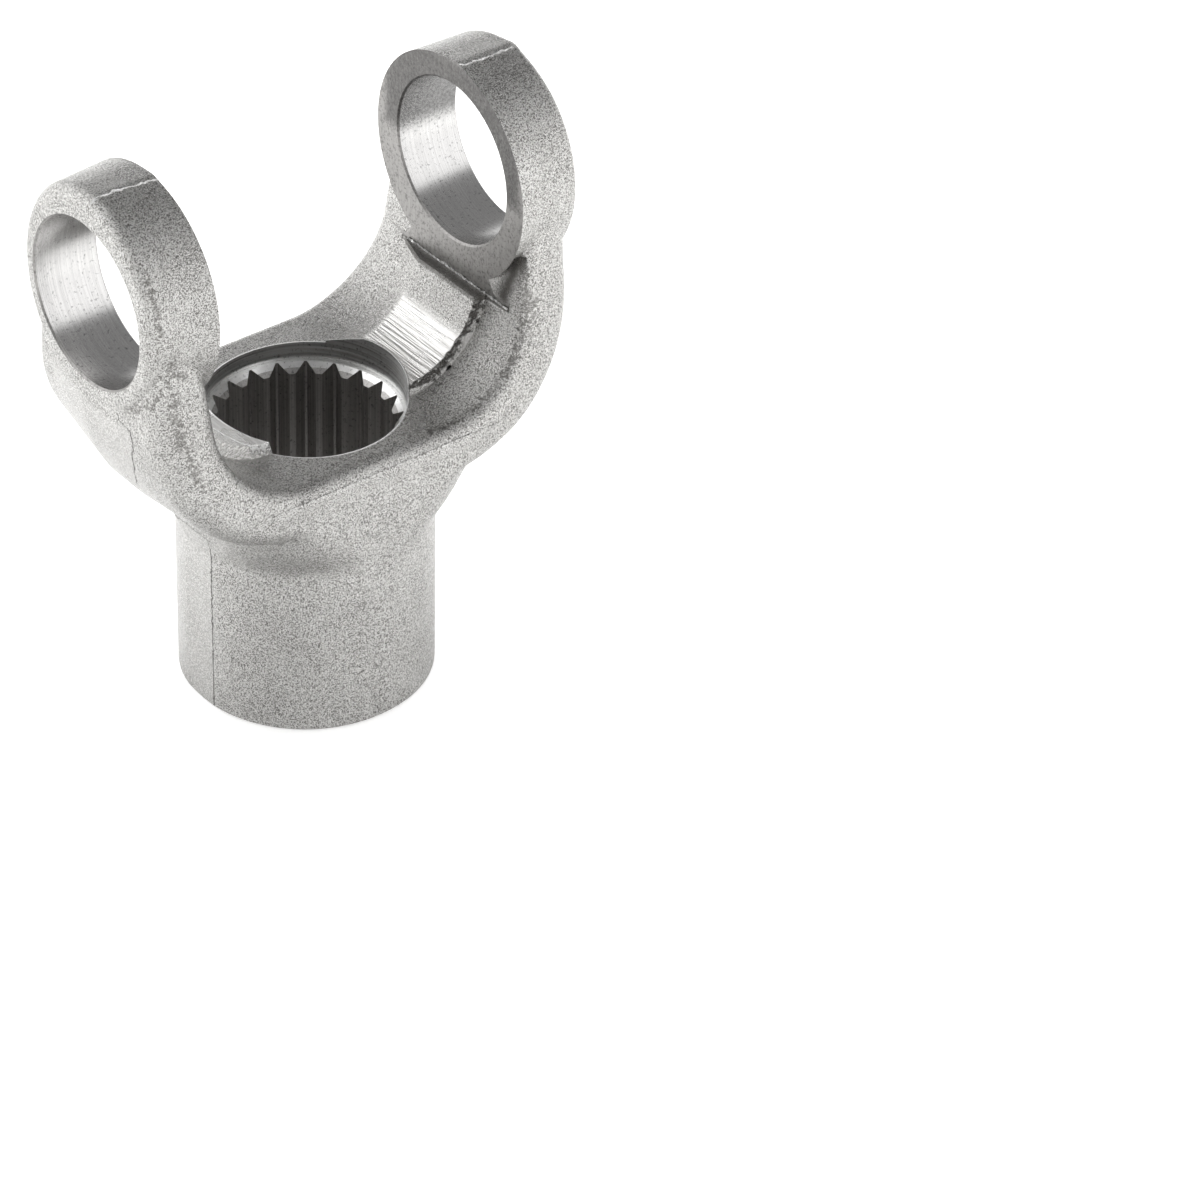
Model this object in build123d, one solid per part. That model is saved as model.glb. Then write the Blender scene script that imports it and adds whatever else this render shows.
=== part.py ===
from build123d import *
import os
from math import acos, atan2, cos, hypot, pi, radians, sin, tan

os.makedirs("parts", exist_ok=True)

# Forged yoke of a universal joint, in millimetres.
# Origin: centre of the hub's open end. +Z runs up the spline axis to the ears,
# +X runs along the axis of the two ear bores. The dies part on the plane Y = 0.

# Ear bores, each to take a pressed bearing cap
bore_d = 27.0
bore_height = 80.9
bore_chamfer = 0.3

# Ears, milled to this thickness on their inner faces, down to a small ledge.
# Heights of the fork are given as drops below the axis of the ear bores.
ear_thickness = 11.3
ledge_drop = 19.2
milling_stock = 1.8

# Strap of the fork, one even band bent round two corners
outer_width = 78.2
strap_wall = 11.8
bend_drop = 16.9
bend_radius = 26.6
front_draft = 4.5
back_draft = 10.0
inner_draft = 3.0
arm_lean = 6.0
flash_depth = 0.3

# Side view of the arms, shifted a little where the dies didn't meet exactly
arm_shift = 0.6
top_half = 16.7
neck_half = 18.5
neck_drop = 18.9
foot_half = 20.9
foot_drop = 33.9
side_blend = 20.0

# Forged ear discs, not quite true to the machined bores, with a low ridge across
# the top where the dies part. Each is given as side, offset along Y and along Z
# from the bore, rise of the ridge, width left at its outer face and edge radius.
ear_radius = 18.4
ear_discs = [(1, 0.4, -0.9, 0.5, 0.95, 1.4), (-1, 0.1, 0.3, 0.15, 0.885, 2.0)]
ridge_offset = -1.8
ridge_round = 3.0

# Rounded edges of the forging
outer_round = 4.0
inner_round = 2.5

# Stub of the inner web, sheared off by the trimming tool
web_proud = 1.5
web_front = -8.9
web_back = 5.0
web_front_run = 0.4
web_back_run = 5.6
web_root = 0.2

# Hub, forged all but round, with the flash trimmed flat on both sides
hub_d = 40.3
hub_flat = 0.3
hub_drop = 52.4
hub_edge = 0.5
trim_depth = 0.4

# Sections of the blend from the round hub to the square foot of the fork, each as
# height above the hub, growth in half width and half depth, and corner lost
hub_blend = [
    (1.5, 0.2, 0.05, 0.2),
    (3.0, 0.5, 0.07, 1.4),
    (4.5, 0.9, 0.11, 3.0),
    (6.5, 1.5, 0.15, 4.8),
    (9.5, 2.7, 0.2, 6.2),
    (12.5, 5.35, 0.25, 7.5),
    (15.1, 8.05, 0.25, 10.0),
    (18.0, 9.45, 0.25, 10.5),
]

# Splined bore and the counterbore above it
counterbore_d = 31.6
counterbore_drop = 35.5
spline_teeth = 21
spline_root_d = 30.4
spline_crest_d = 27.6
spline_crest_land = 1.0
spline_root_land = 0.4
spline_turn = 2.0
spline_lead_in = 1.4

# Derived places
bend_height = bore_height - bend_drop
ledge_height = bore_height - ledge_drop
neck_height = bore_height - neck_drop
foot_height = bore_height - foot_drop
hub_top = bore_height - hub_drop
counterbore_floor = bore_height - counterbore_drop
hub_corner = (hub_d - hub_flat) / 2
outer_half = outer_width / 2
inner_half = outer_half - strap_wall
jaw_half = outer_half - ear_thickness
bend_x = outer_half - bend_radius
arm_top = bore_height - 1
above = bore_height + ear_radius + 10
side_depth = foot_half + 3


def strap_outline(outer, inner):
    """Front view of the strap. Outer and inner are its half widths at the bends."""
    r_out = outer - bend_x
    r_in = inner - bend_x
    lean = radians(arm_lean)
    lean_x = bend_x + r_in * cos(lean)
    lean_z = bend_height - r_in * sin(lean)
    top_x = lean_x + (above - lean_z) * tan(lean)
    floor_out = bend_height - r_out
    floor_in = bend_height - r_in
    with BuildSketch(Plane.XZ) as view:
        with BuildLine():
            Line((outer, above), (outer, bend_height))
            RadiusArc((outer, bend_height), (bend_x, floor_out), r_out)
            Line((bend_x, floor_out), (-bend_x, floor_out))
            RadiusArc((-bend_x, floor_out), (-outer, bend_height), r_out)
            Line((-outer, bend_height), (-outer, above))
            Line((-outer, above), (-top_x, above))
            Line((-top_x, above), (-lean_x, lean_z))
            RadiusArc((-lean_x, lean_z), (-bend_x, floor_in), -r_in)
            Line((-bend_x, floor_in), (bend_x, floor_in))
            RadiusArc((bend_x, floor_in), (lean_x, lean_z), -r_in)
            Line((lean_x, lean_z), (top_x, above))
            Line((top_x, above), (outer, above))
        make_face()
    return view.sketch


def bend_distance(point):
    """Distance from the line of bend centres, in the front view."""
    return hypot(max(abs(point.X) - bend_x, 0), max(bend_height - point.Z, 0))


def rim(shape, on_outside):
    """Long edges of the strap's flanks, on its outside or its inside."""
    middle = bend_radius - strap_wall / 2
    chosen = []
    for edge in shape.edges():
        ends = [edge @ 0, edge @ 1]
        if min(abs(p.Y) for p in ends) < 6 or (edge @ 0.5).Z > arm_top - 0.1:
            continue
        if all((bend_distance(p) > middle) == on_outside for p in ends):
            chosen.append(edge)
    return chosen


# Strap, drafted away from the parting plane to the front and to the back
at_parting = strap_outline(outer_half + flash_depth, inner_half)
strap = Part()
for side, outer_draft in ((-1, front_draft), (1, back_draft)):
    at_side = strap_outline(
        outer_half + flash_depth - side_depth * tan(radians(outer_draft)),
        inner_half + side_depth * tan(radians(inner_draft)),
    )
    strap += loft([at_parting, Pos(0, side * side_depth, 0) * at_side], ruled=True)

# The flash is trimmed flat along the outside of the strap
strap &= extrude(strap_outline(outer_half, inner_half - 1), amount=side_depth, both=True)

# Side view of the arms, wide at the foot and narrow at the neck
with BuildSketch(Plane.YZ) as side_view:
    with BuildLine():
        Polyline(
            (-foot_half, 0),
            (foot_half, 0),
            (foot_half, foot_height),
            (neck_half, neck_height),
            (top_half, arm_top),
            (-top_half, arm_top),
            (-neck_half, neck_height),
            (-foot_half, foot_height),
            (-foot_half, 0),
        )
    make_face()
    bends = [v for v in side_view.vertices() if foot_height - 1 < v.Y < neck_height + 1]
    fillet(bends, side_blend)
arms = extrude(side_view.sketch, amount=outer_width, both=True)
fork = strap & Pos(0, arm_shift, 0) * arms
fork = fillet(rim(fork, False), inner_round)
fork = fillet(rim(fork, True), outer_round)

# Ear discs stand proud of the arms on both sides
disc_start = jaw_half - milling_stock
for side, place, lift, ridge_rise, kept_width, edge_radius in ear_discs:
    ridge_reach = hypot(ridge_offset, ear_radius + ridge_rise)
    ridge_turn = atan2(ear_radius + ridge_rise, ridge_offset)
    tangent_turn = acos(ear_radius / ridge_reach)
    roof = [(0, 0)]
    for turn, reach in ((-tangent_turn, ear_radius), (0, ridge_reach), (tangent_turn, ear_radius)):
        roof.append((reach * cos(ridge_turn + turn), reach * sin(ridge_turn + turn)))
    ear_face = Circle(ear_radius) + Polygon(*roof, align=None)
    ear_face = fillet(ear_face.vertices().sort_by(Axis.Y)[-1], ridge_round)
    outer_face = scale(ear_face, by=(kept_width, 1, 1))
    inner_end = Plane.YZ.offset(disc_start) * ear_face
    outer_end = Plane.YZ.offset(outer_half) * outer_face
    disc = loft([inner_end, outer_end], ruled=True)
    disc = fillet(disc.faces().sort_by(Axis.X)[-1].edges(), edge_radius)
    if side < 0:
        disc = mirror(disc, about=Plane.YZ)
    fork += Pos(0, place, bore_height + lift) * disc

# Hub, round below and drawn out to the square foot of the fork
hub = extrude(RectangleRounded(hub_d, hub_d, hub_corner), amount=hub_top)
hub = chamfer(hub.edges().group_by(Axis.Z)[0], hub_edge)
sections = []
trimmed_side = [(hub_d / 2 - trim_depth, 0)]
for rise, wider, deeper, lost in [(0, 0, 0, 0)] + hub_blend:
    half_width = hub_d / 2 + wider
    section = RectangleRounded(2 * half_width, hub_d + 2 * deeper, hub_corner - lost)
    sections.append(Plane.XY.offset(hub_top + rise) * section)
    trimmed_side.append((half_width - trim_depth, hub_top + rise))
hub += loft(sections)
mirrored_side = [(-x, z) for x, z in reversed(trimmed_side)]
trimmed = Plane.XZ * Polygon(*trimmed_side, *mirrored_side, align=None)
hub &= extrude(trimmed, amount=hub_d, both=True)
body = fork + hub

# Stub of the inner web, a low band along the inside of the strap
crest = inner_half - web_proud
buried = inner_half + web_root
stub_steps = [
    (web_front - web_front_run, buried),
    (web_front, crest),
    (web_back, crest),
    (web_back + web_back_run, buried),
]
stub_sections = []
for place, inner in stub_steps:
    outline = strap_outline(outer_half - strap_wall / 2, inner)
    stub_sections.append(outline.moved(Location((0, place, 0))))
stub = loft(stub_sections, ruled=True)
body += stub & Pos(0, 0, ledge_height / 2) * Box(outer_width, 2 * side_depth, ledge_height)

# Milled inner faces and the ledge they end on
above_ledge = (Align.CENTER, Align.CENTER, Align.MIN)
jaw = Box(2 * jaw_half, 2 * side_depth, above - ledge_height, align=above_ledge)
body -= Pos(0, 0, ledge_height) * jaw

# Ear bores, with a small chamfer at each end of both
bore_r = bore_d / 2
mouth_r = bore_r + bore_chamfer
bore_side = Polygon(
    (0, 0),
    (outer_half, 0),
    (outer_half, mouth_r),
    (outer_half - bore_chamfer, bore_r),
    (jaw_half + bore_chamfer, bore_r),
    (jaw_half, mouth_r),
    (0, mouth_r),
    align=None,
)
bore = revolve(bore_side, Axis.X)
body -= Pos(0, 0, bore_height) * (bore + mirror(bore, about=Plane.YZ))

# Counterbore
counterbore = Plane.XY.offset(counterbore_floor) * Circle(counterbore_d / 2)
body -= extrude(counterbore, amount=above - counterbore_floor)

# Splined bore, cut as one star-shaped hole with a lead-in at each end
spline_crest_r = spline_crest_d / 2
spline_root_r = spline_root_d / 2
pitch = 2 * pi / spline_teeth
points = []
for tooth in range(spline_teeth):
    middle = tooth * pitch + radians(spline_turn)
    crest_turn = pitch / 2 - spline_crest_land / spline_crest_d
    root_turn = spline_root_land / spline_root_d
    for radius, turn in (
        (spline_crest_r, -crest_turn),
        (spline_root_r, -root_turn),
        (spline_root_r, root_turn),
        (spline_crest_r, crest_turn),
    ):
        points.append((radius * cos(middle + turn), radius * sin(middle + turn)))
splined_hole = extrude(Polygon(*points, align=None), amount=counterbore_floor)
body -= splined_hole
lead_in = Cone(spline_crest_r, spline_crest_r + spline_lead_in, spline_lead_in)
body -= Pos(0, 0, counterbore_floor - spline_lead_in / 2) * lead_in
body -= Pos(0, 0, spline_lead_in / 2) * lead_in.rotate(Axis.X, 180)
export_step(body, "parts/yoke.step")
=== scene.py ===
from collections import namedtuple
from math import cos, hypot, radians, sin

import bpy
from bpy.props import FloatProperty, FloatVectorProperty, PointerProperty
from mathutils import Matrix, Vector


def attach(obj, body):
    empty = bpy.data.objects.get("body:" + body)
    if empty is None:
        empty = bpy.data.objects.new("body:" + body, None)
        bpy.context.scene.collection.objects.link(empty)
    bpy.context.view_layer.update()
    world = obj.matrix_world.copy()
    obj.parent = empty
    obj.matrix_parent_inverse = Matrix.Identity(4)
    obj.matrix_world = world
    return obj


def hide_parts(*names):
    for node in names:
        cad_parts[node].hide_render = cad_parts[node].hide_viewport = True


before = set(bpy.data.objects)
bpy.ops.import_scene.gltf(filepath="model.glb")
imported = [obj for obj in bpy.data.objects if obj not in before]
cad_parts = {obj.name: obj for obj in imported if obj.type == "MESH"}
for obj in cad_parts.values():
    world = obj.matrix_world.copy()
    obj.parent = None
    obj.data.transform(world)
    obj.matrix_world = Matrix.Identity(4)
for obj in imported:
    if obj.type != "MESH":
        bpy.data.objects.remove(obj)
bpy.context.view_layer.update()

bl_info = {
    "name": "Forged yoke",
    "version": (1, 0, 0),
    "blender": (4, 5, 0),
    "location": "3D View > Sidebar > Yoke",
    "description": "Dresses a forged drive shaft yoke and sets it in a pale studio",
    "category": "Object",
}

MM = 0.001
X, Y, Z = 0, 1, 2

# Machined places of the forging, in metres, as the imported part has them
BORE_HEIGHT = 80.9 * MM
BORE_RADIUS = 13.5 * MM
CHAMFER = 0.3 * MM
JAW_HALF = 27.8 * MM
EARS_FROM = 20 * MM
COUNTERBORE_RADIUS = 15.8 * MM
COUNTERBORE_FLOOR = 45.4 * MM
COUNTERBORE_TOP = 56 * MM
RING_WIDTH = 0.7 * MM

# A face counts as square to an axis when its normal points along it by more than the
# first of these, and as leaning upwards when it points up by more than the second
SQUARE = 0.99
UPWARDS = 0.3

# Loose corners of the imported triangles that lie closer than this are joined
SAME_POINT = 0.002 * MM

# Hair-thin step on the front flank, where the hub's blend ends: smoothed over here
STEP_HEIGHT = 46.5 * MM
STEP_WIDTH = 0.45 * MM
STEP_FRONT = -18 * MM
STEP_SLACK = 0.01 * MM

# Edges that turn more than this stay sharp
SHARP_ANGLE = radians(28)

# Burr that the milling cutter left along the right ear's ledge
BURR_START = Vector((27.7, 10.6, 61.8)) * MM
BURR_END = Vector((27.7, -14.6, 61.8)) * MM
BURR_HEIGHT = 0.3 * MM
BURR_THICKNESS = 0.12 * MM
BURR_RAGGED = 0.16 * MM
BURR_STEPS = 70

# A place on the forging, as a box with a soft edge, in millimetres
Patch = namedtuple("Patch", "low high soft")

# A mark on the forging, in millimetres: the box it lies in, the axis it runs along and
# the one across it, its path as pairs of (along, across), and its width
Mark = namedtuple("Mark", "low high along across path width")
MARK_EDGE = 0.4

# Dark folds, cracks and trimmed edges, and painted shade on the right ledge, in the hollow corner
# in front of it and along the step at the web stub's front edge
CRACKS_AND_SHADE = (
    # Fold below the left ear
    Mark(
        (-41, -12, 51),
        (-33, -4, 65),
        Z,
        Y,
        (
            (51.3, -7.0),
            (54.2, -8.3),
            (57.1, -9.4),
            (58.8, -9.5),
            (60.8, -10.4),
            (63.6, -10.0),
            (64.3, -7.3),
        ),
        0.42,
    ),
    # Front edge of the web's stub: painted shade along the corner of its step
    Mark((10, -12, 50), (27, -6, 61.4), Z, Y, ((50.4, -9.1), (55.0, -8.9), (61.3, -9.2)), 0.55),
    # Edges left where the hub's flash was trimmed
    Mark((-22, -4, 0.5), (-19, -2, 32), Z, Y, ((0.5, -2.7), (24.0, -2.7), (32.0, -2.9)), 0.4),
    Mark((-22, -3, 31), (-19, 7, 34), Y, Z, ((-3.0, 32.3), (2.0, 32.2), (7.0, 31.8)), 0.3),
    # Right ledge, and the hollow corner in front of it: painted shade
    Mark((24, -14.5, 61.2), (28, 12, 62.2), Y, X, ((-14.5, 26.8), (12, 26.4)), 6.0),
    Mark((28, -17.5, 62), (29.5, -10, 71), Z, Y, ((62, -12.8), (66, -14.0), (71, -15.6)), 5.5),
)

# Bands with more pits than the rest of the skin; at the feet of the left ear's boss and of the
# right arm's rim they also darken the crease as painted shade
PITTED_AND_SHADED = (
    # Front corner of the left arm
    Mark(
        (-40, -21, 55),
        (-28, -14, 79),
        Z,
        X,
        ((55, -32.0), (62.9, -34.3), (70, -35.6), (79, -35.2)),
        3.2,
    ),
    # Foot of the left ear's boss, pitted and darkened as painted shade in its crease, and the
    # groove on its rim
    Mark((-40, -18, 62), (-33, -9, 78), Y, Z, ((-17.0, 76), (-15, 70.5), (-9, 66.6)), 3.0),
    Mark((-38.5, -19, 83), (-35.5, -12, 93), Z, X, ((83, -37.0), (93, -37.3)), 1.8),
    # Foot of the right arm's rim, pitted and darkened as painted shade in its crease
    Mark(
        (10, -20, 48),
        (31, -13, 72),
        Z,
        Y,
        ((48.5, -18.2), (55, -18.1), (62, -17.4), (70, -16.0)),
        2.2,
    ),
)

# Bright torn edges
TORN = (
    # What is left of the flash on the two ears
    Mark(
        (-38.6, -4, 96),
        (-28.2, -1, 102),
        X,
        Y,
        ((-38.6, -1.9), (-33.0, -2.2), (-28.2, -2.7)),
        0.5,
    ),
    Mark((27.8, -4, 96), (37.5, -1, 102), X, Y, ((27.8, -1.9), (32.0, -2.3), (37.4, -2.2)), 0.45),
    # Burr along the left end of the web's stub
    Mark(
        (-20, -9, 49),
        (-15.5, -3, 54),
        Y,
        X,
        ((-9, -16.1), (-7.6, -17.4), (-5.7, -18.3), (-3, -19.1)),
        0.8,
    ),
    Mark((-16.5, -9.8, 49), (-12, -8.2, 52), X, Y, ((-16.5, -8.9), (-12, -9.1)), 0.7),
)

# Thin burr round the upper edge of the counterbore
BRIM = Patch((-17, -17, 47), (17, 17, 56), 0.2)
BRIM_WIDTH = 0.3 * MM

# Where the flash was trimmed flat, and where the stub of the web was sheared off, on
# the +X side and mirrored to the other
TRIMMED = (
    Patch((14, -2.8, 0), (21, 14, 32), 0.3),
    Patch((30, -9.5, 36), (40, 12, 63), 1.0),
)
SHEARED = Patch((10, -8.5, 49), (25, 5, 55), 2.0)

# Scores that cross a millimetre of the sheared stub, along each axis
SCORES = (2.6, 0.08, 2.6)

# Upper half of the right ear's bore: pitted with wear, and darkened to half as painted shade
WORN_AND_SHADED = Patch((27, -15, 82), (40, 15, 97), 4.0)

# Sizes of the skin's cloudy tones and of its ragged marks, which stray by this much
CLOUD_SIZE = 7 * MM
RAGGED_SIZE = 0.9 * MM
STRAY = 0.5 * MM

# Size of the pits in cut steel, and height of the tool's lines
PIT_SIZE = 0.5 * MM
LINE_HEIGHT = 0.01 * MM

# Bright windows of the studio, behind on the left and in front on the right, each as
# the way it lies in, the cosines where its edge fades in and ends, and its brightness
WINDOWS = (
    ((-0.62, 0.66, 0.38), 0.74, 0.88, 1.75),
    ((0.52, -0.8, 0.3), 0.84, 0.9, 1.4),
)

# The sky is bright up to the first of these heights and dim from the second, each
# given as the sine of its angle over the horizon
HORIZON_HEIGHT, HORIZON_LIGHT = 0.1, 1.1
OVERHEAD_HEIGHT, OVERHEAD_LIGHT = 0.38, 0.26

# The table glows a little where it is seen or mirrored. What the yoke mirrors of it carries a
# painted shadow round this place, seen only in reflections, in pairs of distance in metres and
# share of light lost.
TABLE_GLOW = 0.55
SHADE_CENTRE = Vector((-38, -46, 0)) * MM
SHADE_FADE = ((0, 0.6), (0.02, 0.57), (0.036, 0.32), (0.08, 0.26), (0.16, 0.14), (0.5, 0))

# Softbox over the table, and the point that the camera looks at
SOFTBOX_SIZE = 1.4
SOFTBOX_PLACE = Vector((0.25, 0.35, 1.5))
AIM = Vector((59.608, 0, -15.318)) * MM


def linear(colour):
    """An sRGB hex colour as the linear RGBA that Blender's sockets take."""
    parts = [int(colour[i : i + 2], 16) / 255 for i in (1, 3, 5)]
    return [c / 12.92 if c <= 0.04045 else ((c + 0.055) / 1.055) ** 2.4 for c in parts] + [1.0]


def add(tree, kind, values=None, **settings):
    """Adds a node. Values go to its sockets by name or number: a socket makes a link."""
    node = tree.nodes.new(kind)
    for name, value in settings.items():
        setattr(node, name, value)
    for name, value in (values or {}).items():
        if isinstance(value, bpy.types.NodeSocket):
            tree.links.new(value, node.inputs[name])
        else:
            node.inputs[name].default_value = value
    return node


def colour_setting(name, description, colour):
    return FloatVectorProperty(
        name=name,
        description=description,
        default=linear(colour)[:3],
        size=3,
        min=0,
        max=1,
        subtype="COLOR",
    )


def length_setting(name, description, millimetres):
    return FloatProperty(
        name=name,
        description=description,
        default=millimetres * MM,
        min=0,
        precision=5,
        subtype="DISTANCE",
        unit="LENGTH",
    )


def angle_setting(name, description, degrees):
    return FloatProperty(
        name=name,
        description=description,
        default=radians(degrees),
        subtype="ANGLE",
    )


class ForgingLook(bpy.types.PropertyGroup):
    skin_colour: colour_setting("Skin", "Shot-blasted steel of the forged skin", "#E6E5E3")
    pit_colour: colour_setting("Pits", "Scale left in the small dents of the skin", "#73716E")
    # Also the colour of the painted shade on the right ledge and in the corners
    crack_and_shade_colour: colour_setting("Cracks", "Scale left in folds and grooves", "#5A5855")
    burr_colour: colour_setting("Burrs", "Torn steel of flash and burrs", "#F0F0EF")
    milled_colour: colour_setting("Milled steel", "Steel of the ears' milled faces", "#B2B0AE")
    bored_colour: colour_setting("Bored steel", "Fresh steel of the bores", "#DAD9D8")
    spline_colour: colour_setting("Spline", "Oily steel of the broached teeth", "#BEBCBA")
    grain: length_setting("Grain", "Width of the dents that the shot leaves", 0.22)
    grain_depth: length_setting("Grain depth", "Depth of the dents that the shot leaves", 0.08)


class StudioLook(bpy.types.PropertyGroup):
    azimuth: angle_setting("Azimuth", "Camera's turn round the yoke", -39.428)
    elevation: angle_setting("Elevation", "Camera's height above the horizon", 35.993)
    roll: angle_setting("Roll", "Camera's turn about its own line of sight", 1.681)
    distance: length_setting("Distance", "From the camera to the point it looks at", 917.71)
    lens: FloatProperty(
        name="Lens",
        description="Focal length on a 36 mm sensor, in millimetres",
        default=166.8,
        min=10,
    )
    floor_colour: colour_setting("Floor", "Matt white table", "#F4F4F3")
    floor_size: length_setting("Floor size", "Length of one side of the table", 6000)
    lamp_power: FloatProperty(
        name="Lamp",
        description="Power of the soft lamp overhead, in watts",
        default=22,
        min=0,
    )


def surface_of(face):
    """Names how a face of the yoke was made, from its place and its normal."""
    centre = face.center
    normal = face.normal
    slack = 0.12 * MM
    from_axis = hypot(centre.x, centre.y)
    from_bore = hypot(centre.y, centre.z - BORE_HEIGHT)
    in_ear = abs(centre.x) > EARS_FROM
    ring = COUNTERBORE_FLOOR - RING_WIDTH
    if from_axis < COUNTERBORE_RADIUS and centre.z > ring - slack and normal.z > UPWARDS:
        return "ring"
    if from_axis < COUNTERBORE_RADIUS - slack and centre.z < COUNTERBORE_FLOOR - slack:
        return "spline"
    if from_axis < COUNTERBORE_RADIUS + slack and centre.z < COUNTERBORE_TOP:
        return "counterbored"
    if in_ear and from_bore < BORE_RADIUS + slack / 2:
        return "bored"
    if in_ear and from_bore < BORE_RADIUS + CHAMFER:
        return "milled"
    if abs(abs(centre.x) - JAW_HALF) < slack and abs(normal.x) > SQUARE:
        return "milled"
    return "skin"


def inside(tree, place, patch):
    """1 inside a patch's box, fading to 0 over its soft edge."""
    low = Vector(patch.low) * MM
    high = Vector(patch.high) * MM
    outward = add(
        tree,
        "ShaderNodeVectorMath",
        {0: place, 1: (low + high) / 2},
        operation="SUBTRACT",
    )
    outward = add(tree, "ShaderNodeVectorMath", {0: outward.outputs[0]}, operation="ABSOLUTE")
    outward = add(
        tree,
        "ShaderNodeVectorMath",
        {0: outward.outputs[0], 1: (high - low) / 2},
        operation="SUBTRACT",
    )
    sides = add(tree, "ShaderNodeSeparateXYZ", {0: outward.outputs[0]})
    return add(
        tree,
        "ShaderNodeMapRange",
        {
            "Value": strongest(tree, list(sides.outputs)),
            "From Min": patch.soft * MM,
            "From Max": 0,
        },
        interpolation_type="SMOOTHSTEP",
    ).outputs[0]


def strongest(tree, values):
    """The largest of several values."""
    total = values[0]
    for other in values[1:]:
        total = add(tree, "ShaderNodeMath", {0: total, 1: other}, operation="MAXIMUM").outputs[0]
    return total


def follow(tree, value, points):
    """Reads a value off straight lines through points, given as (value, result)."""
    start, end = points[0][0], points[-1][0]
    low = min(result for _, result in points)
    high = max(result for _, result in points)
    share = add(tree, "ShaderNodeMapRange", {"Value": value, "From Min": start, "From Max": end})
    course = add(tree, "ShaderNodeFloatCurve", {"Value": share.outputs[0]})
    bends = course.mapping.curves[0].points
    while len(bends) < len(points):
        bends.new(0.5, 0.5)
    for bend, (far, result) in zip(bends, points):
        bend.location = ((far - start) / (end - start), (result - low) / (high - low))
        bend.handle_type = "VECTOR"
    course.mapping.update()
    return add(
        tree,
        "ShaderNodeMapRange",
        {"Value": course.outputs[0], "To Min": low, "To Max": high},
    ).outputs[0]


def stroke(tree, place, wander, mark):
    """A mark on the skin: 1 on its middle line, fading to 0 at its sides and outside
    its box. Wander is how far the line strays."""
    axes = add(tree, "ShaderNodeSeparateXYZ", {0: place})
    path = [(far * MM, aside * MM) for far, aside in mark.path]
    middle = follow(tree, axes.outputs[mark.along], path)
    aside = add(
        tree,
        "ShaderNodeMath",
        {0: axes.outputs[mark.across], 1: middle},
        operation="SUBTRACT",
    )
    aside = add(tree, "ShaderNodeMath", {0: aside.outputs[0], 1: wander}, operation="ADD")
    aside = add(tree, "ShaderNodeMath", {0: aside.outputs[0]}, operation="ABSOLUTE")
    cover = add(
        tree,
        "ShaderNodeMapRange",
        {"Value": aside.outputs[0], "From Min": mark.width / 2 * MM, "From Max": 0},
        interpolation_type="SMOOTHSTEP",
    )
    within = inside(tree, place, Patch(mark.low, mark.high, MARK_EDGE))
    return add(
        tree,
        "ShaderNodeMath",
        {0: cover.outputs[0], 1: within},
        operation="MULTIPLY",
    ).outputs[0]


def strokes(tree, place, wander, marks):
    """All marks of one kind."""
    return strongest(tree, [stroke(tree, place, wander, mark) for mark in marks])


def counterbore_brim(tree, place):
    """1 on the thin burr round the counterbore's upper edge."""
    level = add(tree, "ShaderNodeVectorMath", {0: place, 1: (1, 1, 0)}, operation="MULTIPLY")
    from_axis = add(tree, "ShaderNodeVectorMath", {0: level.outputs[0]}, operation="LENGTH")
    edge = [(COUNTERBORE_RADIUS, 1.0), (COUNTERBORE_RADIUS + BRIM_WIDTH, 0.0)]
    return add(
        tree,
        "ShaderNodeMath",
        {0: follow(tree, from_axis.outputs["Value"], edge), 1: inside(tree, place, BRIM)},
        operation="MULTIPLY",
    ).outputs[0]


def bare_steel(tree, look, place, grain, ragged, tone, pitted):
    """Share of bare steel on the skin, as against scale in its pits: it is speckled by the grain,
    clouded by the tone, and low in clusters along the pitted bands, which in two creases stand for
    painted shade."""
    spots = add(
        tree,
        "ShaderNodeTexNoise",
        {"Vector": place, "Scale": 0.55 / look.grain, "Detail": 2.0, "Roughness": 0.6},
    )
    speckle = add(tree, "ShaderNodeMapRange", {"Value": grain, "From Min": 0.4, "From Max": 0.54})
    cluster = add(tree, "ShaderNodeMapRange", {"Value": ragged, "From Min": 0.38, "From Max": 0.58})
    clustered = add(
        tree,
        "ShaderNodeMath",
        {0: pitted, 1: cluster.outputs[0]},
        operation="MULTIPLY",
    )
    spot_size = add(
        tree,
        "ShaderNodeMapRange",
        {"Value": clustered.outputs[0], "To Min": 0.42, "To Max": 0.85},
    )
    between_spots = add(
        tree,
        "ShaderNodeMapRange",
        {"Value": spots.outputs["Fac"], "From Min": 0.3, "From Max": spot_size.outputs[0]},
    )
    cloud = add(
        tree,
        "ShaderNodeMapRange",
        {"Value": tone, "From Min": 0.3, "From Max": 0.7, "To Min": 0.8, "To Max": 1.0},
    )
    share = add(
        tree,
        "ShaderNodeMath",
        {0: speckle.outputs[0], 1: between_spots.outputs[0]},
        operation="MULTIPLY",
    )
    return add(
        tree,
        "ShaderNodeMath",
        {0: share.outputs[0], 1: cloud.outputs[0]},
        operation="MULTIPLY",
    ).outputs[0]


def rubbed_places(tree, place):
    """How much the flash's trimming and the web's shearing rubbed the skin smooth, and
    where it was sheared."""
    mirrored = add(
        tree,
        "ShaderNodeVectorMath",
        {0: place, 1: (-1, 1, 1)},
        operation="MULTIPLY",
    )
    beside = add(
        tree,
        "ShaderNodeVectorMath",
        {0: place, 1: mirrored.outputs[0]},
        operation="MAXIMUM",
    ).outputs[0]
    trimmed = strongest(tree, [inside(tree, beside, patch) for patch in TRIMMED])
    sheared = inside(tree, beside, SHEARED)
    partly = add(tree, "ShaderNodeMath", {0: trimmed, 1: 0.45}, operation="MULTIPLY")
    rubbed = add(
        tree,
        "ShaderNodeMath",
        {0: partly.outputs[0], 1: sheared},
        operation="MAXIMUM",
    )
    return rubbed.outputs[0], sheared


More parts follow.
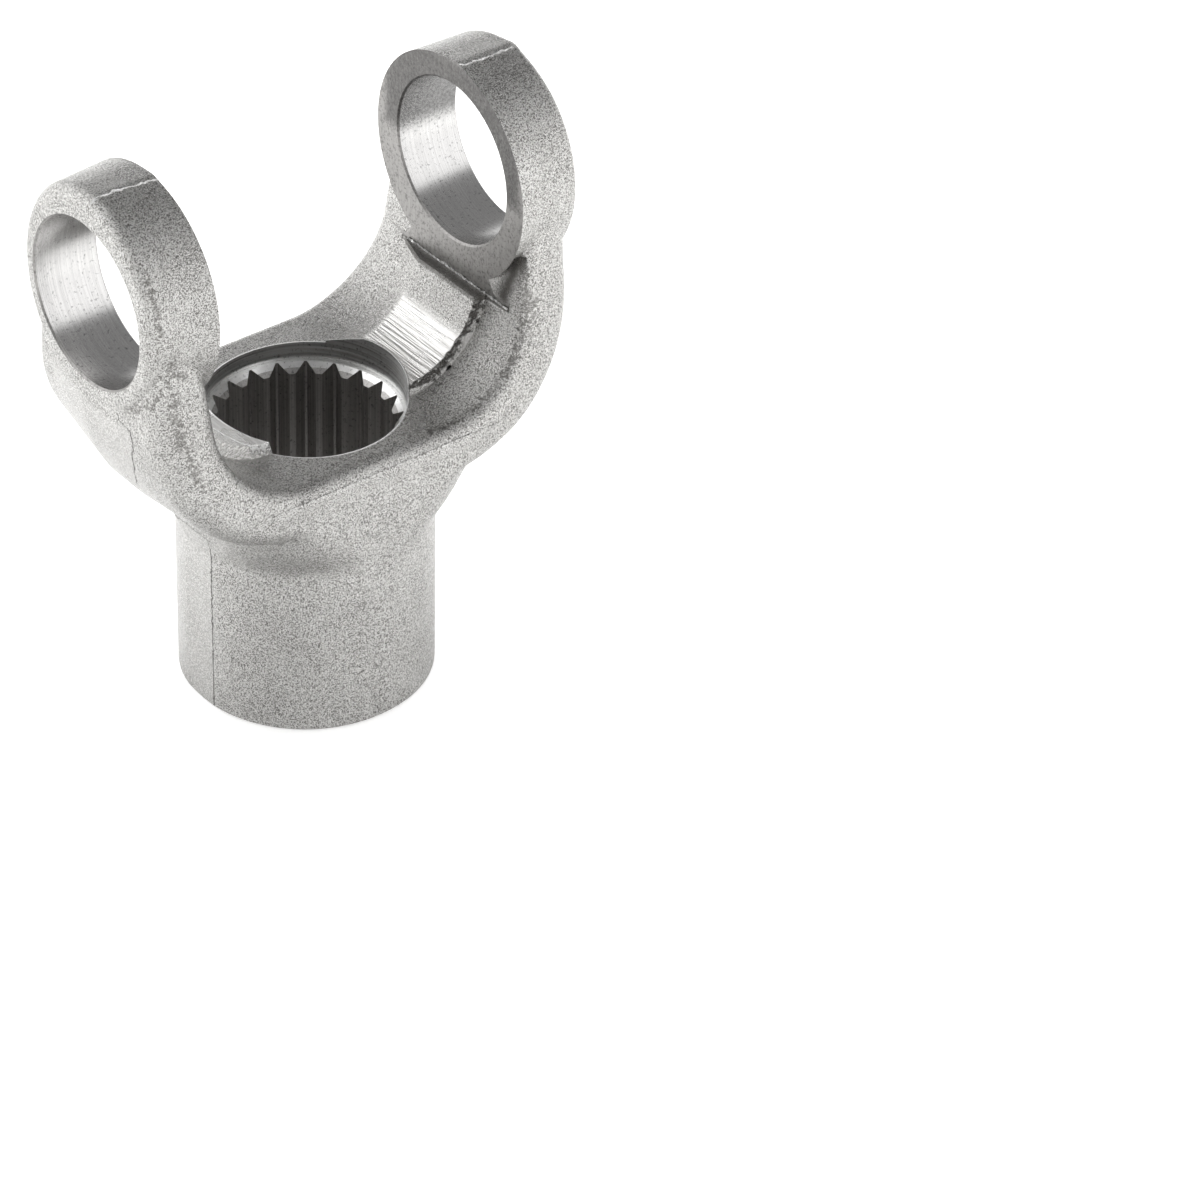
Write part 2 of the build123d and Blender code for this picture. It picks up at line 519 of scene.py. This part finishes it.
def skin_height(tree, place, grain, rubbed, sheared, bright, dark):
    """Relief of the skin: dents that are shallow where it was rubbed, scores on the
    sheared stub, raised burrs and sunk cracks."""
    calm = add(tree, "ShaderNodeMapRange", {"Value": rubbed, "To Min": 1.0, "To Max": 0.4})
    dents = add(tree, "ShaderNodeMath", {0: grain, 1: calm.outputs[0]}, operation="MULTIPLY")
    along_scores = add(
        tree,
        "ShaderNodeVectorMath",
        {0: place, 1: Vector(SCORES) / MM},
        operation="MULTIPLY",
    )
    scores = add(
        tree,
        "ShaderNodeTexNoise",
        {"Vector": along_scores.outputs[0], "Scale": 1.0, "Detail": 2.0},
    )
    scored = add(
        tree,
        "ShaderNodeMath",
        {0: scores.outputs["Fac"], 1: sheared},
        operation="MULTIPLY",
    )
    edge = add(tree, "ShaderNodeMath", {0: bright, 1: dark}, operation="SUBTRACT")
    height = add(
        tree,
        "ShaderNodeMath",
        {0: edge.outputs[0], 1: 2.0, 2: dents.outputs[0]},
        operation="MULTIPLY_ADD",
    )
    return add(
        tree,
        "ShaderNodeMath",
        {0: scored.outputs[0], 1: 2.0, 2: height.outputs[0]},
        operation="MULTIPLY_ADD",
    ).outputs[0]


def skin_material(look):
    """Shot-blasted carbon steel: a bright, rough metal with a fine grain of dents, dark in its
    cracks, with painted shade on the right ledge and in creases and corners, and bright where flash
    tore off."""
    material = bpy.data.materials.new("shot_blasted_steel")
    material.use_nodes = True
    tree = material.node_tree
    shader = tree.nodes["Principled BSDF"]
    place = add(tree, "ShaderNodeTexCoord").outputs["Object"]
    grain = add(
        tree,
        "ShaderNodeTexNoise",
        {"Vector": place, "Scale": 1 / look.grain, "Detail": 3.0, "Roughness": 0.7},
    ).outputs["Fac"]
    tone = add(
        tree,
        "ShaderNodeTexNoise",
        {"Vector": place, "Scale": 1 / CLOUD_SIZE, "Detail": 3.0},
    ).outputs["Fac"]
    ragged = add(
        tree,
        "ShaderNodeTexNoise",
        {"Vector": place, "Scale": 1 / RAGGED_SIZE, "Detail": 2.0},
    ).outputs["Fac"]
    wander = add(
        tree,
        "ShaderNodeMapRange",
        {"Value": ragged, "To Min": -STRAY, "To Max": STRAY},
    ).outputs[0]
    # Pitted bands, which also paint shade in the creases at the feet of the left boss and the right
    # rim
    pitted = strokes(tree, place, wander, PITTED_AND_SHADED)
    # Dark marks: folds and cracks, and painted shade on the right ledge and in corners
    dark = strokes(tree, place, wander, CRACKS_AND_SHADE)
    torn = strokes(tree, place, wander, TORN)
    bright = strongest(tree, [torn, counterbore_brim(tree, place)])
    rubbed, sheared = rubbed_places(tree, place)
    bare = bare_steel(tree, look, place, grain, ragged, tone, pitted)
    colour = add(
        tree,
        "ShaderNodeMix",
        {
            0: strongest(tree, [bare, rubbed]),
            6: [*look.pit_colour, 1],
            7: [*look.skin_colour, 1],
        },
        data_type="RGBA",
    )
    for mark, mark_colour in ((dark, look.crack_and_shade_colour), (bright, look.burr_colour)):
        colour = add(
            tree,
            "ShaderNodeMix",
            {0: mark, 6: colour.outputs[2], 7: [*mark_colour, 1]},
            data_type="RGBA",
        )
    tree.links.new(colour.outputs[2], shader.inputs["Base Color"])
    metal = add(tree, "ShaderNodeMapRange", {"Value": bright, "To Min": 1.0, "To Max": 0.15})
    tree.links.new(metal.outputs[0], shader.inputs["Metallic"])
    rough = add(
        tree,
        "ShaderNodeMapRange",
        {"Value": tone, "From Min": 0.3, "From Max": 0.7, "To Min": 0.24, "To Max": 0.32},
    )
    tree.links.new(rough.outputs[0], shader.inputs["Roughness"])
    height = skin_height(tree, place, grain, rubbed, sheared, bright, dark)
    # Noise spans about half of its range, so twice the depth goes in. The dents are
    # drawn deeper than real ones, so that they show.
    bump = add(
        tree,
        "ShaderNodeBump",
        {"Height": height, "Strength": 1.0, "Distance": look.grain_depth * 2},
    )
    tree.links.new(bump.outputs[0], shader.inputs["Normal"])
    return material


def cut_material(name, colour, roughness, lines, darkest, wear=0):
    """Cut or torn steel: a satin metal with fine lines, and a few pits that crowd where it has
    wear, where its colour also darkens; on the upper half of the right bore this darkening, down to
    half, is painted shade. The lines are given as how many cross a millimetre along each axis, and
    by the share of light that the darkest keep."""
    material = bpy.data.materials.new(name)
    material.use_nodes = True
    tree = material.node_tree
    shader = tree.nodes["Principled BSDF"]
    place = add(tree, "ShaderNodeTexCoord").outputs["Object"]
    across = add(
        tree,
        "ShaderNodeVectorMath",
        {0: place, 1: Vector(lines) / MM},
        operation="MULTIPLY",
    )
    feed = add(
        tree,
        "ShaderNodeTexNoise",
        {"Vector": across.outputs[0], "Scale": 1.0, "Detail": 3.0},
    ).outputs["Fac"]
    pits = add(
        tree,
        "ShaderNodeTexNoise",
        {"Vector": place, "Scale": 1 / PIT_SIZE, "Detail": 3.0, "Roughness": 0.7},
    ).outputs["Fac"]
    wear_and_shade = add(
        tree,
        "ShaderNodeMath",
        {0: inside(tree, place, WORN_AND_SHADED), 1: wear},
        operation="MAXIMUM",
    ).outputs[0]
    crowding = add(tree, "ShaderNodeMapRange", {"Value": wear_and_shade, "To Min": 0.42, "To Max": 0.72})
    pitted = add(
        tree,
        "ShaderNodeMapRange",
        {"Value": pits, "From Min": 0.3, "From Max": crowding.outputs[0], "To Min": 0.45},
    )
    streak = add(
        tree,
        "ShaderNodeMapRange",
        {"Value": feed, "From Min": 0.3, "From Max": 0.7, "To Min": darkest, "To Max": 1.06},
    )
    # Darker with wear; on the right bore's upper half this darkening is painted shade
    darkened = add(tree, "ShaderNodeMapRange", {"Value": wear_and_shade, "To Min": 1.0, "To Max": 0.5})
    tone = add(
        tree,
        "ShaderNodeMath",
        {0: pitted.outputs[0], 1: streak.outputs[0]},
        operation="MULTIPLY",
    )
    tone = add(
        tree,
        "ShaderNodeMath",
        {0: tone.outputs[0], 1: darkened.outputs[0]},
        operation="MULTIPLY",
    )
    shade = add(
        tree,
        "ShaderNodeVectorMath",
        {0: colour, "Scale": tone.outputs[0]},
        operation="SCALE",
    )
    tree.links.new(shade.outputs[0], shader.inputs["Base Color"])
    eaten = add(tree, "ShaderNodeMath", {0: pits, 1: wear_and_shade}, operation="MULTIPLY")
    height = add(
        tree,
        "ShaderNodeMath",
        {0: eaten.outputs[0], 1: 12.0, 2: feed},
        operation="MULTIPLY_ADD",
    )
    bump = add(
        tree,
        "ShaderNodeBump",
        {"Height": height.outputs[0], "Strength": 1.0, "Distance": LINE_HEIGHT},
    )
    tree.links.new(bump.outputs[0], shader.inputs["Normal"])
    shader.inputs["Metallic"].default_value = 1.0
    shader.inputs["Roughness"].default_value = roughness
    return material


def finishes(look):
    """The materials of the forging, by how each surface was made."""
    return {
        "skin": skin_material(look),
        # Face-milled steel: dull grey, with lines that run up and down the ears
        "milled": cut_material(
            "milled_steel",
            look.milled_colour,
            roughness=0.4,
            lines=(0, 2.2, 0.15),
            darkest=0.85,
            wear=0.3,
        ),
        # Bored steel: bright, with rings that run round the bore
        "bored": cut_material(
            "bored_steel",
            look.bored_colour,
            roughness=0.27,
            lines=(5, 0.04, 0.04),
            darkest=0.86,
        ),
        # Counterbored steel: a bright wall with coarse rings, some of them dark
        "counterbored": cut_material(
            "counterbored_steel",
            look.burr_colour,
            roughness=0.38,
            lines=(0.05, 0.05, 2.5),
            darkest=0.5,
        ),
        # Faced steel: an even, bright ring at the counterbore's floor
        "ring": cut_material(
            "faced_steel",
            look.burr_colour,
            roughness=0.3,
            lines=(0.5, 0.5, 0.5),
            darkest=0.9,
        ),
        # Broached steel: teeth with lines that run along them
        "spline": cut_material(
            "broached_steel",
            look.spline_colour,
            roughness=0.4,
            lines=(4, 4, 0.02),
            darkest=0.7,
        ),
    }


def merged_copy(context, node, name):
    """A copy of a node's mesh whose loose triangles are joined."""
    piece = bpy.data.objects.new(name, node.data.copy())
    context.scene.collection.objects.link(piece)
    bpy.ops.object.select_all(action="DESELECT")
    piece.select_set(True)
    context.view_layer.objects.active = piece
    if piece.data.has_custom_normals:
        bpy.ops.mesh.customdata_custom_splitnormals_clear()
    bpy.ops.object.mode_set(mode="EDIT")
    bpy.ops.mesh.select_all(action="SELECT")
    bpy.ops.mesh.remove_doubles(threshold=SAME_POINT)
    bpy.ops.mesh.select_all(action="DESELECT")
    bpy.ops.mesh.select_mode(type="FACE")
    bpy.ops.object.mode_set(mode="OBJECT")
    return piece


def close_step(piece):
    """Closes the hair-thin step on the front flank."""
    for face in piece.data.polygons:
        on_step = abs(face.center.z - STEP_HEIGHT) < STEP_SLACK
        face.select = on_step and face.normal.z > SQUARE
    bpy.ops.object.mode_set(mode="EDIT")
    bpy.ops.mesh.dissolve_degenerate(threshold=STEP_WIDTH)
    bpy.ops.object.mode_set(mode="OBJECT")


def shade_smooth(piece):
    """Shades the skin smooth, with sharp edges where it turns a corner, but none along
    the closed step."""
    bpy.ops.object.shade_smooth_by_angle(angle=SHARP_ANGLE)
    mesh = piece.data
    for part in (*mesh.polygons, *mesh.vertices):
        part.select = False
    for edge in mesh.edges:
        ends = [mesh.vertices[index].co for index in edge.vertices]
        edge.select = all(
            abs(end.z - STEP_HEIGHT) < STEP_SLACK and end.y < STEP_FRONT for end in ends
        )
    bpy.ops.object.mode_set(mode="EDIT")
    bpy.ops.mesh.select_mode(type="EDGE")
    bpy.ops.mesh.mark_sharp(clear=True)
    bpy.ops.object.mode_set(mode="OBJECT")
    even = piece.modifiers.new("even shading", "WEIGHTED_NORMAL")
    even.keep_sharp = True
    bpy.ops.object.modifier_apply(modifier=even.name)


class YOKE_OT_forging(bpy.types.Operator):
    """Dresses the forging: smooth forged skin, machined faces and broached teeth"""

    bl_idname = "yoke.forging"
    bl_label = "Forging"

    def execute(self, context):
        piece = merged_copy(context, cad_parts["yoke"], "forging")
        close_step(piece)
        shade_smooth(piece)
        piece.data.materials.clear()
        materials = finishes(context.scene.forging_look)
        for material in materials.values():
            piece.data.materials.append(material)
        names = list(materials)
        for face in piece.data.polygons:
            face.material_index = names.index(surface_of(face))
        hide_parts("yoke")
        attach(piece, "root")
        return {"FINISHED"}


class YOKE_OT_burr(bpy.types.Operator):
    """Adds the thin torn burr along the ledge of the right ear"""

    bl_idname = "yoke.burr"
    bl_label = "Burr"

    def execute(self, context):
        look = context.scene.forging_look
        bpy.ops.object.select_all(action="DESELECT")
        bpy.ops.mesh.primitive_grid_add(
            x_subdivisions=BURR_STEPS,
            y_subdivisions=1,
            size=1,
            location=(BURR_START + BURR_END) / 2,
            rotation=(radians(90), 0, radians(90)),
        )
        burr = context.object
        burr.name = "burr"
        burr.scale = (BURR_START.y - BURR_END.y, BURR_HEIGHT, 1)
        bpy.ops.object.transform_apply(location=True, rotation=True, scale=True)
        bpy.ops.object.mode_set(mode="EDIT")
        bpy.ops.mesh.select_all(action="SELECT")
        bpy.ops.transform.vertex_random(offset=BURR_RAGGED, seed=4)
        bpy.ops.object.mode_set(mode="OBJECT")
        thick = burr.modifiers.new("thickness", "SOLIDIFY")
        thick.thickness = BURR_THICKNESS
        bpy.ops.object.modifier_apply(modifier=thick.name)
        # Torn steel: bright and matt, with dark flecks across the burr
        torn = cut_material(
            "torn_steel",
            look.burr_colour,
            roughness=0.5,
            lines=(1, 3, 1),
            darkest=0.5,
        )
        burr.data.materials.append(torn)
        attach(burr, "root")
        return {"FINISHED"}


class YOKE_OT_studio(bpy.types.Operator):
    """Sets the yoke on a pale floor under soft light, with the camera in its place"""

    bl_idname = "yoke.studio"
    bl_label = "Studio"

    def execute(self, context):
        look = context.scene.studio_look
        self.make_floor(context, look)
        self.make_world(context)
        self.make_lamp(context, look)
        self.make_camera(context, look)
        context.scene.view_settings.view_transform = "Standard"
        return {"FINISHED"}

    def make_floor(self, context, look):
        bpy.ops.object.select_all(action="DESELECT")
        bpy.ops.mesh.primitive_plane_add(size=look.floor_size)
        floor = context.object
        floor.name = "floor"
        floor.data.materials.append(self.table_material(look))

    def table_material(self, look):
        """Matt white table top: even, but for the yoke's shadow and a painted shadow round one
        place that only reflections show.
        """
        material = bpy.data.materials.new("matt_white_table")
        material.use_nodes = True
        tree = material.node_tree
        tree.nodes.clear()
        rays = add(tree, "ShaderNodeLightPath").outputs
        place = add(tree, "ShaderNodeTexCoord").outputs["Object"]
        ways = [rays["Is Camera Ray"], rays["Is Glossy Ray"], rays["Is Transmission Ray"]]
        glow = add(
            tree,
            "ShaderNodeMath",
            {0: strongest(tree, ways), 1: TABLE_GLOW},
            operation="MULTIPLY",
        )
        from_shade = add(
            tree,
            "ShaderNodeVectorMath",
            {0: place, 1: SHADE_CENTRE},
            operation="DISTANCE",
        ).outputs["Value"]
        # Painted shadow, seen only in reflections
        shade = add(
            tree,
            "ShaderNodeMath",
            {0: follow(tree, from_shade, SHADE_FADE), 1: rays["Is Glossy Ray"]},
            operation="MULTIPLY",
        )
        colour = add(
            tree,
            "ShaderNodeMix",
            {0: shade.outputs[0], 6: [*look.floor_colour, 1], 7: [0, 0, 0, 1]},
            data_type="RGBA",
        )
        unshaded = add(tree, "ShaderNodeMath", {0: 1.0, 1: shade.outputs[0]}, operation="SUBTRACT")
        level = add(
            tree,
            "ShaderNodeMath",
            {0: glow.outputs[0], 1: unshaded.outputs[0]},
            operation="MULTIPLY",
        )
        glowing = add(
            tree,
            "ShaderNodeEmission",
            {"Color": [1, 1, 1, 1], "Strength": level.outputs[0]},
        )
        matt = add(tree, "ShaderNodeBsdfDiffuse", {"Color": colour.outputs[2]})
        both = add(tree, "ShaderNodeAddShader", {0: matt.outputs[0], 1: glowing.outputs[0]})
        add(tree, "ShaderNodeOutputMaterial", {"Surface": both.outputs[0]})
        return material

    def make_world(self, context):
        world = bpy.data.worlds.new("studio")
        context.scene.world = world
        world.use_nodes = True
        tree = world.node_tree
        tree.nodes.clear()
        way = add(tree, "ShaderNodeTexCoord").outputs["Generated"]
        height = add(tree, "ShaderNodeSeparateXYZ", {0: way}).outputs[2]
        sky = add(
            tree,
            "ShaderNodeMapRange",
            {
                "Value": height,
                "From Min": HORIZON_HEIGHT,
                "From Max": OVERHEAD_HEIGHT,
                "To Min": HORIZON_LIGHT,
                "To Max": OVERHEAD_LIGHT,
            },
            interpolation_type="SMOOTHSTEP",
        )
        lights = [sky.outputs[0]]
        for middle, edge, full, light in WINDOWS:
            towards = add(
                tree,
                "ShaderNodeVectorMath",
                {0: way, 1: Vector(middle).normalized()},
                operation="DOT_PRODUCT",
            ).outputs["Value"]
            window = add(
                tree,
                "ShaderNodeMapRange",
                {"Value": towards, "From Min": edge, "From Max": full, "To Max": light},
                interpolation_type="SMOOTHSTEP",
            )
            lights.append(window.outputs[0])
        background = add(
            tree,
            "ShaderNodeBackground",
            {"Color": [1, 1, 1, 1], "Strength": strongest(tree, lights)},
        )
        add(tree, "ShaderNodeOutputWorld", {"Surface": background.outputs[0]})

    def make_lamp(self, context, look):
        lamp = bpy.data.lights.new("softbox", "AREA")
        lamp.shape = "DISK"
        lamp.size = SOFTBOX_SIZE
        lamp.energy = look.lamp_power
        softbox = bpy.data.objects.new("softbox", lamp)
        softbox.location = SOFTBOX_PLACE
        softbox.rotation_euler = (-SOFTBOX_PLACE).to_track_quat("-Z", "Y").to_euler()
        softbox.visible_glossy = False
        context.scene.collection.objects.link(softbox)

    def make_camera(self, context, look):
        turn = look.azimuth
        rise = look.elevation
        back = Vector((sin(turn) * cos(rise), -cos(turn) * cos(rise), sin(rise)))
        level = Vector((cos(turn), sin(turn), 0))
        right = Matrix.Rotation(look.roll, 3, back) @ level
        up = back.cross(right)
        camera = bpy.data.objects.new("camera", bpy.data.cameras.new("camera"))
        camera.data.sensor_width = 36
        camera.data.lens = look.lens
        camera.data.clip_end = 20
        axes = Matrix((right, up, back)).transposed().to_4x4()
        camera.matrix_world = Matrix.Translation(AIM + back * look.distance) @ axes
        context.scene.collection.objects.link(camera)
        context.scene.camera = camera


class YOKE_PT_panel(bpy.types.Panel):
    """Lists the steps that dress the yoke, with their sizes and colours"""

    bl_idname = "YOKE_PT_panel"
    bl_label = "Forged yoke"
    bl_space_type = "VIEW_3D"
    bl_region_type = "UI"
    bl_category = "Yoke"

    def draw(self, context):
        self.layout.operator("yoke.burr")
        for step, look in (
            ("yoke.forging", context.scene.forging_look),
            ("yoke.studio", context.scene.studio_look),
        ):
            box = self.layout.box()
            box.operator(step)
            for name in look.bl_rna.properties.keys():
                if name not in ("rna_type", "name"):
                    box.prop(look, name)


CLASSES = (ForgingLook, StudioLook, YOKE_OT_forging, YOKE_OT_burr, YOKE_OT_studio, YOKE_PT_panel)


def register():
    for each in CLASSES:
        bpy.utils.register_class(each)
    bpy.types.Scene.forging_look = PointerProperty(type=ForgingLook)
    bpy.types.Scene.studio_look = PointerProperty(type=StudioLook)


def unregister():
    del bpy.types.Scene.studio_look
    del bpy.types.Scene.forging_look
    for each in reversed(CLASSES):
        bpy.utils.unregister_class(each)


def main():
    register()
    bpy.ops.yoke.forging()
    bpy.ops.yoke.burr()
    bpy.ops.yoke.studio()


if __name__ == "__main__":
    main()
